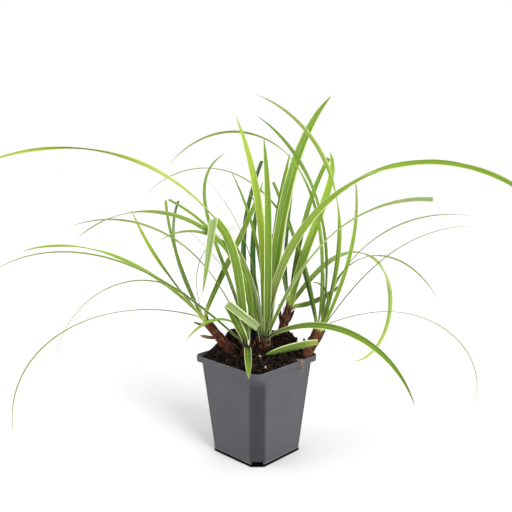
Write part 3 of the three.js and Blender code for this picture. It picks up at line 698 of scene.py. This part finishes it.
def add_blade(pile, blade, root, number, rise=None, start=None, thick=0.34, curl=1.45, shade=None,
              base="pale"):
    """A blade as a closed skin along its spine. At a place v across, from -1 to 1, the middle of the
    skin lies below the edges by KEEL times curl times the width times 1 - |v|^1.3, with a low ridge
    sin(pi |v|) on each half and a slow wave, a sine of the length, that grows as v squared. The skin
    thins by 0.65 v squared to its edges. A crease flattens the keel near it. Where the blade is
    shut, each half turns up about the keel by FOLD times a bell curve of the length."""
    s, length, points, along, side, wide = blade_path(blade, root, rise, start)
    up, wide = np.cross(along, side), wide[:, None]
    v = np.linspace(-1, 1, ACROSS)
    v = np.sin(v * np.pi / 2) * 0.35 + v * 0.65
    dish = -KEEL * curl * (1 - np.abs(v) ** 1.3) + 0.025 * np.sin(np.pi * np.abs(v))
    wave = 0.035 * np.sin(length / 17 + number * 2.1)[:, None] * v ** 2 * wide
    flat, shut = np.ones_like(s), np.zeros_like(s)
    if blade["crease"]:
        flat = np.minimum(1, np.abs(s - blade["crease"][0]) * blade["long"] / 20)
    if blade["shut"]:
        where, reach = blade["shut"]
        shut = np.radians(FOLD) * np.exp(-((s - where) / reach) ** 2)
    lying, standing = wide / 2 * np.cos(shut)[:, None], wide / 2 * np.sin(shut)[:, None]
    middle = (dish * wide + wave) * flat[:, None] * np.cos(shut)[:, None] + standing * (np.abs(v) - 0.5)
    skin = thick * (1 - 0.65 * v * v) / 2
    low, top = (points[:, None] + side[:, None] * (lying * v)[..., None]
                + up[:, None] * (middle + half)[..., None] for half in (-skin, skin))
    rings = np.concatenate([low, top[:, ::-1]], axis=1)

    tint = tints_along(shade or blade["tint"], s, [0.04, 0.5, 0.95])
    # Painted shade: each blade darker towards its root, down to 0.72 of its tint, for the shade among the
    # leaves.
    tint = tint * (0.72 + 0.53 * smooth(length / 150))[:, None, None]
    if shade is None:
        tint = coated(tint, 1 - smooth((length - 1) / 16)[:, None, None], base)
    tint = coated(tint, (np.arange(2 * ACROSS) >= ACROSS)[:, None] * blade["pale"], "under")
    if blade["crease"]:
        rings, past = creased(blade, rings, root)
        # A painted highlight: a pale cream line along the fold of the crease.
        tint = coated(tint, 0.5 * np.exp(-(past - 1.3) ** 2)[..., None], "cream")
    looks = dict(strap=strap_field(length[:, None], np.concatenate([v, v[::-1]]), number), tint=tint)
    if shade is None:
        dried = blade["dry"] * 2
        dry = smooth((s - 1 + dried) / max(dried, 0.01))
        if blade["cut"]:
            dry = np.maximum(dry, 0.15 * smooth((s - 1) * blade["long"] / 0.8 + 1))
        left, right = np.broadcast_to(blade["rim"], 2)
        fade = 1 - smooth((s - 0.8) / 0.2)
        looks["marks"] = np.stack([left * fade, right * fade, dry], -1)[:, None]
    pile.rings(rings, **looks)


def shoot_axis(shoot):
    """Crown, foot, rising direction and sheath mouth of a shoot, in the pot's frame."""
    crown, foot = turned(shoot["crown"]), turned(shoot["foot"])
    rise = unit(crown - foot)
    return crown, foot, rise, crown - rise * shoot["below"]


def round_axis(middle, rise, radius, turn):
    """Points at a radius and a turn round a middle, in the plane square to the rise."""
    a = unit(np.cross([0.0, 1.0, 0.0], rise))
    b = np.cross(rise, a)
    return middle + a * (radius * np.cos(turn))[..., None] + b * (radius * np.sin(turn))[..., None]


def girth(shoot, share):
    """Radius of a shoot's sheath, even from its foot's to its mouth's."""
    return shoot["radii"][0] + (shoot["radii"][1] - shoot["radii"][0]) * share


def foliage(name, shoot, number):
    """All blades of a shoot, each led out of the sheath, around a pale core of young bases. The core
    narrows by half to its top and has five soft folds, a cosine of five times the turn."""
    pile = Pile()
    crown, _, rise, mouth = shoot_axis(shoot)
    for index, blade in enumerate(shoot["leaves"]):
        shift = turned((blade["x"], 0, 0))
        out = square_part(headings(blade, np.array([0.03]))[0][0], rise)
        out = unit(out) * min(1, np.linalg.norm(out) * 3)
        start = mouth - rise * STEM_START + out * shoot["core"] * 0.6 + shift * 0.5
        add_blade(pile, blade, crown + shift, number * 20 + index, rise, start, base=shoot["base"])
    t, turn = np.linspace(0, 1, 24), circle(40)
    radius = shoot["core"] * (1.0 - 0.5 * smooth((t - 0.55) / 0.45))[:, None] \
        * (0.86 + 0.07 * np.cos(5 * turn + number))
    high = shoot["below"] + CORE_START + CORE_OUT
    middle = mouth - rise * CORE_START + rise * (t * high)[:, None]
    pile.rings(round_axis(middle[:, None], rise, radius, turn), tint=TINTS[shoot["base"]],
               strap=strap_field((t * 16)[:, None], np.sin(turn * 2), number), marks=np.zeros(3))
    pile.piece(f"{name}_foliage", BLADE, "leaves", f"{name}_leaves", crease=60)


def low_leaf():
    """The one blade that lies low across the rim, by itself."""
    pile = Pile()
    add_blade(pile, LOW_LEAF, turned(LOW_LEAF_ROOT), 120, thick=0.5)
    pile.piece("right_low_blade", BLADE, "leaves", "right_low_leaf", crease=60)


def thread(pile, path, radius, tint, sides=5, **fields):
    """A thin round thread along a path. Its radius falls by 0.75 |2 t - 1|^3 to both ends."""
    way = unit(np.gradient(path, axis=0))
    a = unit(np.cross(way, [0.3, 0.2, 1.0]))
    b = np.cross(way, a)
    size = radius * (1 - 0.75 * np.abs(2 * np.linspace(0, 1, len(path)) - 1) ** 3)
    turn = circle(sides)[:, None]
    rings = path[:, None] + (a[:, None] * np.cos(turn) + b[:, None] * np.sin(turn)) * size[:, None, None]
    pile.rings(rings, tint=tint, **fields)


def fray(pile, shoot, foot, rise, high, number, count=34):
    """Dry fibres loose on a sheath: each follows it a little off its surface, leans round it evenly,
    and lifts at its ends by a soft step. Those that start at the foot splay out there."""
    draw = np.random.default_rng(60 + number)
    shades = ["shade", "plum", "umber", "umber", "tan", "tan", "straw"]
    for index in range(count):
        begin = draw.choice([-0.02, draw.uniform(0.05, 0.6)])
        t = np.linspace(begin, min(begin + draw.uniform(0.35, 0.8), 1.08), 16)
        turn = draw.uniform(0, 2 * np.pi) + draw.uniform(-0.5, 0.5) * (t - begin)
        ends = np.maximum(smooth((begin + 0.12 - t) / 0.12), smooth((t - t[-1] + 0.12) / 0.12))
        off = 0.25 + draw.uniform(0.2, 1.3) * ends + (1.5 if begin < 0 else 0) * smooth((0.2 - t) / 0.2)
        middle = foot + rise * (t * high)[:, None]
        path = round_axis(middle, rise, girth(shoot, np.clip(t, 0, 1)) + off, turn)
        tint = TINTS[draw.choice(shades)]
        strap = strap_field((t * high)[:, None], np.array([-0.5, 0.0, 0.5, 0.1]), number * 40 + index)
        thread(pile, path, draw.uniform(0.16, 0.42), tint, sides=4, strap=strap)


sheath_draw = np.random.default_rng(11)


def sheath(name, shoot, number):
    """Wrapped papery sheaths: three tubes, one in another, each up to its mouth and a short way back
    down inside it. The mouth's height is a cosine of the turn, with a small sine and random nicks.
    The radius grows by 0.45 over one turn, so that an edge winds up the tube. Bracts stand off as
    thin pointed blades."""
    pile = Pile()
    _, foot, rise, mouth = shoot_axis(shoot)
    high = np.linalg.norm(mouth - foot)
    turn = circle(56)
    share = np.concatenate([np.linspace(0, 1, 26), np.linspace(1, 0.72, 7)[1:]])
    t, inside = share[:, None], np.repeat([0, 0.35], [26, 6])[:, None]
    for layer in range(3):
        lean = sheath_draw.uniform(0, 2 * np.pi)
        top = high * (1.0 - 0.22 * layer) + shoot.get("tall", 0) + 1.6 * np.cos(turn - lean) \
            + 0.5 * np.sin(7 * turn + layer) + 0.35 * sheath_draw.uniform(-1, 1, len(turn))
        wrap = 0.45 * ((turn - lean + t * 1.3) / (2 * np.pi) % 1)
        radius = girth(shoot, t) - 0.7 + 0.35 * layer + wrap - inside + 0.12 * np.sin(3 * turn + 9 * t)
        rings = round_axis(foot + rise * (t * top)[..., None], rise, radius, turn)
        tint = tints_along(shoot["bark"], share, [0.3, 0.65, 0.95])
        pile.rings(rings, strap=strap_field(t * top, (turn / np.pi - 1) * 2, number * 3 + layer),
                   tint=coated(tint, 0.6 * smooth((t - 0.92) / 0.08)[..., None], "straw"))
    for index, (up, bract) in enumerate(shoot["bracts"]):
        head = np.radians(PLANT_TURN + bract["to"])
        out = unit(square_part(np.array([np.cos(head), np.sin(head), 0]), rise))
        root = foot + (mouth - foot) * up + out * (girth(shoot, up) - 0.6)
        add_blade(pile, bract, root, 90 + number * 3 + index, thick=0.4, curl=1.4, shade=shoot["scale"])
    fray(pile, shoot, foot, rise, high, number)
    pile.piece(f"{name}_wrap", SHEATH, "sheath", f"{name}_sheath", crease=50)


# -------- pot

def square_ring(half, cut, soft, z, steps=8):
    """A square with cut corners at one height, anticlockwise from +X. Each cut's two edges are
    softened by an eighth of a circle."""
    near, far = half - cut - soft * math.tan(math.pi / 8), half - soft
    angle = np.radians(np.concatenate([np.linspace(0, 45, steps + 1), np.linspace(45, 90, steps + 1)]))
    cx, cy = np.repeat([far, near], steps + 1), np.repeat([near, far], steps + 1)
    x, y = cx + soft * np.cos(angle), cy + soft * np.sin(angle)
    ring = np.concatenate([np.stack(pair, -1) for pair in ((x, y), (-y, x), (-x, -y), (y, -x))])
    return np.column_stack([ring, np.full(len(ring), float(z))])


def shrink(outline, by):
    """An outline moved in by a distance on every side, its cuts too."""
    half, cut, soft = outline
    return half - by, cut - by * (2 - math.sqrt(2)), max(soft - by, 0.5)


def wall_at(z):
    """Outline of the outside wall at a height: straight between the base and the shoulder."""
    t = (z - FOOT_HEIGHT) / (SHOULDER_Z - FOOT_HEIGHT)
    return tuple(a + (b - a) * t for a, b in zip(BASE, SHOULDER))


def pot_profile():
    """Rings from the middle of the underside, up the outside, over the rolled rim and down the
    inside to the middle of the floor. Most are an outline moved in by a distance, at a height."""
    middle = (4, 1, 1)
    foot = [(FOOT_INSET + 0.3, 0), (FOOT_INSET, 0.3), (FOOT_INSET, FOOT_HEIGHT), (0.4, FOOT_HEIGHT),
            (0.12, FOOT_HEIGHT + 0.1), (0.0, FOOT_HEIGHT + 0.4)]
    wall = [4, 8, 20, 35, 50, 65, 80, 90, SHOULDER_Z - 1.2, SHOULDER_Z - 0.4]
    rim = [(0.55, SHOULDER_Z), (0.4, SHOULDER_Z + 0.1), (0.3, SHOULDER_Z + 0.5),
           (0.02, POT_HEIGHT - 0.9), (0.12, POT_HEIGHT - 0.4), (0.4, POT_HEIGHT - 0.08),
           (0.75, POT_HEIGHT), (1.05, POT_HEIGHT - 0.1), (1.36, POT_HEIGHT - 0.5),
           (1.8, SHOULDER_Z + 1.6)]
    steps = [(*middle, 0)]
    steps += [(*shrink(BASE, by), z) for by, z in foot]
    steps += [(*wall_at(z), z) for z in wall]
    steps += [(*shrink(SHOULDER, -0.3), SHOULDER_Z - 0.05), (44.1, 7.5, 5, SHOULDER_Z + 0.03)]
    steps += [(*shrink(RIM, by), z) for by, z in rim]
    steps += [(*shrink(wall_at(z), POT_WALL), z) for z in (92.5, 70, 40, 10, 4)]
    steps += [(*shrink(BASE, POT_WALL + 0.6), POT_FLOOR), (*middle, POT_FLOOR)]
    return np.stack([square_ring(*step) for step in steps])


def solid(name, rings):
    """A plain closed object from rings, to cut or join."""
    pile = Pile()
    pile.rings(rings)
    return mesh_object(name, pile.points[0], pile.faces)


def corner_boxes(name, grow, low):
    """The four drain notches under the corners as boxes, grown by a margin."""
    near, far, half = NOTCH_REACH - grow, RIM[0] * 1.5, NOTCH_WIDTH / 2 + grow
    flat = np.array([[near, -half, 0], [far, -half, 0], [far, half, 0], [near, half, 0]])
    return [solid(f"{name}_{turn}", np.stack([turned(flat, turn) + [0, 0, z]
                                              for z in (low, NOTCH_HEIGHT + grow)]))
            for turn in CORNERS]


def drill(turn):
    """One drain hole through the roof of a notch."""
    angle = circle(28)
    rim = turned((DRAIN_AT, 0, 0), turn) \
        + np.stack([np.cos(angle), np.sin(angle), 0 * angle], -1) * DRAIN_HOLE / 2
    return solid(f"drill_{turn}", np.stack([rim + [0, 0, 1], rim + [0, 0, 9]]))


def settle(shape, tools, operation):
    """Joins or cuts a shape by its tools, and keeps the result as its own mesh."""
    for tool in tools:
        change = shape.modifiers.new("change", "BOOLEAN")
        change.operation, change.object, change.solver = operation, tool, "EXACT"
    bpy.context.view_layer.update()
    result = bpy.data.meshes.new_from_object(shape.evaluated_get(bpy.context.evaluated_depsgraph_get()))
    shape.modifiers.clear()
    shape.data = result


# How many of the profile's rings reach 80 mm up the outside, well past the notches, and how far
# above the table the notches' roofs start.
UP_TO_80, ROOF_LIFT = 14, 0.05


def make_pot():
    """The shell from its profile, with a roofed notch and a drain hole under each corner. The roofs
    start a little above the table, because the join fails nearer to the shell's own lower edge."""
    profile = pot_profile()
    shell, outside = solid("pot_shell", profile), solid("outside", profile[:UP_TO_80])
    roofs = corner_boxes("roof", POT_WALL, ROOF_LIFT)
    for roof in roofs:
        settle(roof, [outside], "INTERSECT")
    settle(shell, roofs, "UNION")
    cutters = corner_boxes("notch", 0, -1) + [drill(turn) for turn in CORNERS]
    settle(shell, cutters, "DIFFERENCE")
    for tool in [outside, *roofs, *cutters]:
        bpy.data.objects.remove(tool, do_unlink=True)
    shell.data.materials.clear()
    shell.data.materials.append(POT)
    stand_for(shell, "pot", 32)


# -------- soil

def how_far_out(x, y):
    """0 in the middle of the pot and 1 at its inside wall: a rounded square measure, the fourth root
    of x to the fourth plus y to the fourth."""
    return np.minimum(1, (x ** 4 + y ** 4) ** 0.25 / (RIM[0] - POT_WALL))


def mound(x, y):
    """The mound's height: low along the rim, flat on top, higher at the plant's back, with a clod on
    each side there, each a bell curve."""
    cos, sin = math.cos(math.radians(PLANT_TURN)), math.sin(math.radians(PLANT_TURN))
    right, away = x * cos + y * sin, y * cos - x * sin
    out = how_far_out(x, y)
    rise = SOIL_RISE + SOIL_SLOPE * np.clip(away, -SOIL_REACH, SOIL_REACH)
    lumps = 0.7 * np.sin(0.42 * x + 1) * np.sin(0.37 * y + 2)
    clods = sum(high * np.exp(-((right - cx) ** 2 + (away - cy) ** 2) / reach ** 2)
                for cx, cy, high, reach in CLODS)
    return SOIL_EDGE + (rise + lumps) * (1 - out ** 4) + clods * (1 - out ** 12)


# Round grains on the ground, and how many are laid at once.
GRAINS, GRAIN_BATCH = 1400, 100


def rough_ground(x, y):
    """The mound with crumbs on it: four sizes of lattice noise, then round grains of several sizes,
    each a dome whose height is the root of what is left of its radius squared."""
    z = mound(x, y)
    for size, high, seed in ((11, 1.5, 1), (5.5, 1.2, 2), (2.6, 0.8, 3), (1.2, 0.4, 4)):
        z = z + high * lattice_noise(x, y, size, seed)
    draw = np.random.default_rng(5)
    at = draw.uniform(-42, 42, (GRAINS, 2))
    size = draw.uniform(0.6, 2.1, GRAINS) ** 1.4
    dome = np.zeros_like(z)
    for start in range(0, GRAINS, GRAIN_BATCH):
        part = slice(start, start + GRAIN_BATCH)
        gap = (x[..., None] - at[part, 0]) ** 2 + (y[..., None] - at[part, 1]) ** 2
        dome = np.maximum(dome, np.sqrt(np.maximum(size[part] ** 2 - gap, 0)).max(-1))
    return z + 0.8 * dome - 0.9 - 1.0 * smooth((how_far_out(x, y) - 0.9) / 0.1)


def even_ring(ring, count=360):
    """A ring's points spread evenly along its length."""
    loop = np.vstack([ring, ring[:1]])
    length = np.concatenate([[0], np.cumsum(np.linalg.norm(np.diff(loop, axis=0), axis=1))])
    want = np.linspace(0, length[-1], count, endpoint=False)
    return np.stack([np.interp(want, length, loop[:, axis]) for axis in range(3)], -1)


def make_soil():
    """Rings of the pot's inside outline shrunk to the middle, laid on the rough ground, with a skirt
    down inside the pot."""
    shares = np.concatenate([np.linspace(1, 0.93, 10)[:-1], np.linspace(0.93, 0.02, 120)])
    outline = even_ring(square_ring(*shrink(RIM, POT_WALL + 0.35), 0))
    flat = outline[None, :, :2] * shares[:, None, None]
    top = np.concatenate([flat, rough_ground(flat[..., 0], flat[..., 1])[..., None]], -1)
    skirt = [square_ring(*shrink(wall_at(z), POT_WALL + 0.4), z) for z in (12, 60, 92.4)]
    skirt.append(square_ring(*shrink(RIM, POT_WALL + 0.8), 95.3))
    pile = Pile()
    pile.rings(np.concatenate([np.stack([even_ring(ring) for ring in skirt]), top]))
    pile.piece("peat", SOIL, "soil", "soil")


# Loose bits lie within this share of the way out to the pot's inside wall.
INSIDE = 0.96


def scatter_on_soil(count, seed):
    """Random places on the ground inside the rim, with their height."""
    draw = np.random.default_rng(seed)
    at = draw.uniform(-1, 1, (count * 2, 2)) * (RIM[0] - POT_WALL - 1.5)
    at = at[how_far_out(at[:, 0], at[:, 1]) < INSIDE][:count]
    return np.column_stack([at, rough_ground(at[:, 0], at[:, 1])]), draw


def spun(bits, angle, i, j):
    """Bits each turned by its own angle from axis i towards axis j."""
    c, s = np.cos(angle)[:, None], np.sin(angle)[:, None]
    moved = bits.copy()
    moved[..., i], moved[..., j] = bits[..., i] * c - bits[..., j] * s, bits[..., i] * s + bits[..., j] * c
    return moved


def chips(pile, count, seed, size, tint, spread=0.25, at=None):
    """Broken bits: twenty-sided grains, their corners on three golden rectangles square to each
    other, dented and stretched three ways, each tipped and turned at random."""
    g = (1 + 5 ** 0.5) / 2
    flat = [(-1, g, 0), (1, g, 0), (-1, -g, 0), (1, -g, 0)]
    base = np.array([np.roll(corner, axis) for axis in range(3) for corner in flat]) / 1.9
    faces = np.array([(0, 11, 5), (0, 5, 1), (0, 1, 7), (0, 7, 10), (0, 10, 11), (1, 5, 9), (5, 11, 4),
                      (11, 10, 2), (10, 7, 6), (7, 1, 8), (3, 9, 4), (3, 4, 2), (3, 2, 6), (3, 6, 8),
                      (3, 8, 9), (4, 9, 5), (2, 4, 11), (6, 2, 10), (8, 6, 7), (9, 8, 1)])
    spots, draw = scatter_on_soil(count, seed)
    if at:
        spots = np.array([[*at, rough_ground(*np.array(at, float)[:, None])[0]]])
    count = len(spots)
    dents = draw.uniform(0.7, 1.3, (count, 12, 1))
    stretch = np.array(size) * draw.uniform(0.6, 1.4, (count, 3))
    turn, tip = draw.uniform(0, 2 * np.pi, count), draw.uniform(-0.7, 0.7, count)
    bits = spun(spun(base * dents * stretch[:, None], tip, 0, 2), turn, 0, 1)
    bits = bits + (spots + [0, 0, 0.25 * min(size)])[:, None]
    shade = np.array(tint) * draw.uniform(1 - spread, 1 + spread, (count, 1))
    shade[:, 3] = 1
    faces = (faces + (np.arange(count) * 12)[:, None, None]).reshape(-1, 3).tolist()
    pile.add(bits.reshape(-1, 3), faces, tint=np.repeat(shade, 12, axis=0))


def fibres(pile):
    """Tan fibres that lie on the soil a little above its crumbs, each in a bow that turns evenly."""
    spots, draw = scatter_on_soil(130, 24)
    t = np.linspace(0, 1, 12)
    paths = []
    for start in spots:
        long, head, bow = draw.uniform(4, 13), draw.uniform(0, 2 * np.pi), draw.uniform(-0.9, 0.9)
        turn = head + bow * 2 * t
        flat = start[:2] + np.cumsum(np.stack([np.cos(turn), np.sin(turn)], -1) * long / 11, 0)
        if how_far_out(flat[:, 0], flat[:, 1]).max() < INSIDE:
            ground = rough_ground(flat[:, 0], flat[:, 1])
            level = np.convolve(np.pad(ground, 2, "edge"), np.ones(5) / 5, "valid")
            paths.append(np.column_stack([flat, level + 0.3 + draw.uniform(0.0, 0.6) * np.sin(np.pi * t)]))
    tints = [lit(paint(116, 82, 56), draw.uniform(0.25, 1.25)) for _ in paths]
    for path, radius, tint in zip(paths, draw.uniform(0.08, 0.2, len(paths)), tints):
        thread(pile, path, radius, tint)


def hanging_roots(pile, count=13):
    """Fine roots that come out of the soil by the right shoot, cross the rim and hang down outside.
    Places along each give how far out and how high it is, and it drifts sideways along the wall with
    a small wave, a sine of its length."""
    draw = np.random.default_rng(31)
    t, places = np.linspace(0, 1, 26), [0, 0.3, 0.42, 0.55, 1]
    paths = []
    for _ in range(count):
        start, drop = draw.uniform(12, 17.5), draw.uniform(5, 15)
        over = np.interp(t, places, [37, 43.6, 45.3, 45.9, 45.4 - draw.uniform(-0.8, 1.2)])
        z = np.interp(t, places, [98.5, 100.2, 100.2, 98.2, 99 - drop])
        side = start + draw.uniform(-0.2, 1.5) * 5 * t \
            + draw.uniform(0.6, 1.6) * np.sin(t * draw.uniform(6, 14))
        away = 0.4 * np.sin(t * draw.uniform(8, 16) + start) * smooth((t - 0.5) / 0.2)
        paths.append(np.column_stack([over + np.abs(away), side, z]))
    for path, radius, light in zip(paths, draw.uniform(0.14, 0.26, count), draw.uniform(0.6, 1.25, count)):
        thread(pile, path, radius, lit(paint(176, 154, 130), light))


def make_litter():
    """Bark chips and lumps, white grit, tan fibres lying on the soil, and roots over the rim."""
    pile = Pile()
    chips(pile, 420, 21, (1.5, 0.9, 0.6), paint(34, 23, 17), 0.7)
    chips(pile, 80, 22, (2.2, 1.0, 0.45), paint(92, 62, 44), 0.5)
    chips(pile, 90, 25, (2.4, 1.9, 1.5), paint(26, 16, 12), 0.5)
    chips(pile, 30, 23, (0.6, 0.5, 0.45), paint(176, 160, 136), 0.2)
    for number, (x, y, size) in enumerate(GRIT):
        chips(pile, 1, 40 + number, (size, size * 0.9, size * 0.8), paint(214, 204, 184), 0.05, at=(x, y))
    fibres(pile)
    hanging_roots(pile)
    pile.piece("soil_litter", LITTER, "soil", None)


# -------- floor, light, camera

def make_floor():
    """A white floor with a near-black painted contact shadow under the pot, out to just past its foot.
    How far out a place lies is the largest of |x|, |y| and, at the cut corners, the half width and
    what |x| + |y| reaches past the cut along the diagonal."""
    material, tree, sockets = finish("pale_floor", Roughness=0.6, Specular_IOR_Level=0.1)
    x, y, _ = split(own_place(tree))
    x, y = sums("ABSOLUTE", x), sums("ABSOLUTE", y)
    diagonal = math.sqrt(0.5)
    slack = (BASE[0] * (1 - math.sqrt(2)) + BASE[1] * diagonal) * MM
    corner = sums("MULTIPLY_ADD", sums("ADD", x, y), diagonal, slack)
    out = sums("MAXIMUM", corner, sums("MAXIMUM", x, y))
    # Painted contact shadow: near black under the pot, fading to white from 0.4 mm inside its base outline
    # to 1.6 mm outside it.
    dry = ease(out, (BASE[0] - 0.4) * MM, (BASE[0] + 1.6) * MM)
    colour = layers((0.004, 0.004, 0.004, 1), (dry, (0.96, 0.96, 0.96, 1)))
    join(colour, sockets["Base Color"])
    far = 6000
    floor = mesh_object("floor", [(-far, -far, 0), (far, -far, 0), (far, far, 0), (-far, far, 0)],
                        [(0, 1, 2, 3)], material)
    # Just under the pot's own face, so that the two don't flicker.
    floor.location.z = -0.0003


def light_room(bright=0.85, front=0.35):
    """A white room that is dimmer on the side the plant faces: brightness falls with the cosine of
    the angle to the front, to a share of itself there. The backdrop itself stays white."""
    world = bpy.data.worlds.new("studio")
    world.use_nodes = True
    scene.world = world
    tree, background = world.node_tree, world.node_tree.nodes["Background"]
    background.inputs["Color"].default_value = (1, 1, 1, 1)
    where = own_place(tree, "Generated")
    toward = put("ShaderNodeVectorMath", {0: where, 1: tuple(turned((0, -0.95, 0.3)))},
                 operation="DOT_PRODUCT").outputs["Value"]
    dim = ease(toward, 0.1, 0.9, bright, bright * front)
    seen = tree.nodes.new("ShaderNodeLightPath").outputs["Is Camera Ray"]
    join(sums("MAXIMUM", dim, seen), background.inputs["Strength"])


def lamp(name, kind, energy, place, goal):
    """A lamp at a place in the plant's frame, facing another place."""
    data = bpy.data.lights.new(name, kind)
    data.energy = energy
    light = bpy.data.objects.new(name, data)
    light.location = turned(place)
    light.rotation_euler = Vector(turned(goal) - turned(place)).to_track_quat("-Z", "Y").to_euler()
    scene.collection.objects.link(light)
    return data


def place_camera(lens=47.25, tilt=math.radians(9.8), distance=0.66, aim=(-0.0006, 0, 0.2)):
    """The camera faces the aim from the plant's front, tilted down to it."""
    data = bpy.data.cameras.new("camera")
    data.lens, data.sensor_width = lens, 36
    camera = bpy.data.objects.new("camera", data)
    scene.collection.objects.link(camera)
    scene.camera = camera
    camera.location = turned(np.array(aim) + np.array([0, -math.cos(tilt), math.sin(tilt)]) * distance)
    camera.rotation_euler = (math.radians(90) - tilt, 0, math.radians(PLANT_TURN))


# -------- build

for number, (name, shoot) in enumerate(SHOOTS.items()):
    foliage(name, shoot, number)
    sheath(name, shoot, number)
low_leaf()
make_pot()
make_soil()
make_litter()

scene.view_settings.view_transform = "Standard"
make_floor()
light_room()
lamp("key", "SUN", 2.5, (0.66, -0.84, 0.68), (0, 0, 0)).angle = math.radians(36)
lamp("fill", "AREA", 7, (-1.3, -0.3, 0.9), (0, 0, 0.12)).size = 1.2
place_camera()
